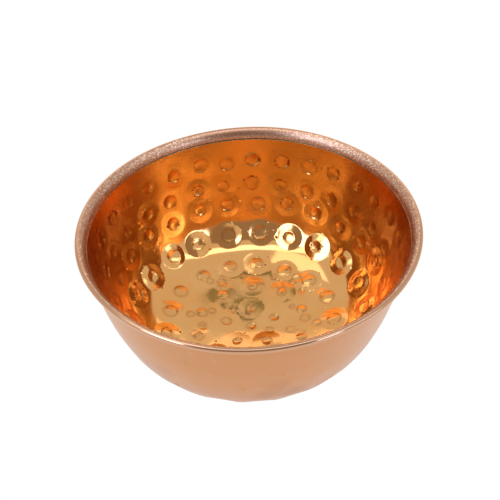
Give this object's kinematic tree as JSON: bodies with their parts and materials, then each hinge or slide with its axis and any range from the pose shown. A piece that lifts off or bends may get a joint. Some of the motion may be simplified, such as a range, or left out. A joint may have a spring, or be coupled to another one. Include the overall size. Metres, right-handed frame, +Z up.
{
  "type": "hammered bowl",
  "caption": "Deep round bowl of hammered copper with a small flat base and a flared lip rolled over a wire.",
  "frame": {"origin": "centre of the bowl's footprint, on the surface it stands on", "axes": "+Z up along the bowl's axis of revolution; X and Y are level"},
  "size_m": [0.12, 0.12, 0.053],
  "materials": {
    "hammered_copper": "polished, hammered copper",
    "copper_wire": "drawn copper wire"
  },
  "bodies": {
    "root": {"bowl_shell": "hammered_copper", "rim_wire": "copper_wire"}
  },
  "joints": []
}
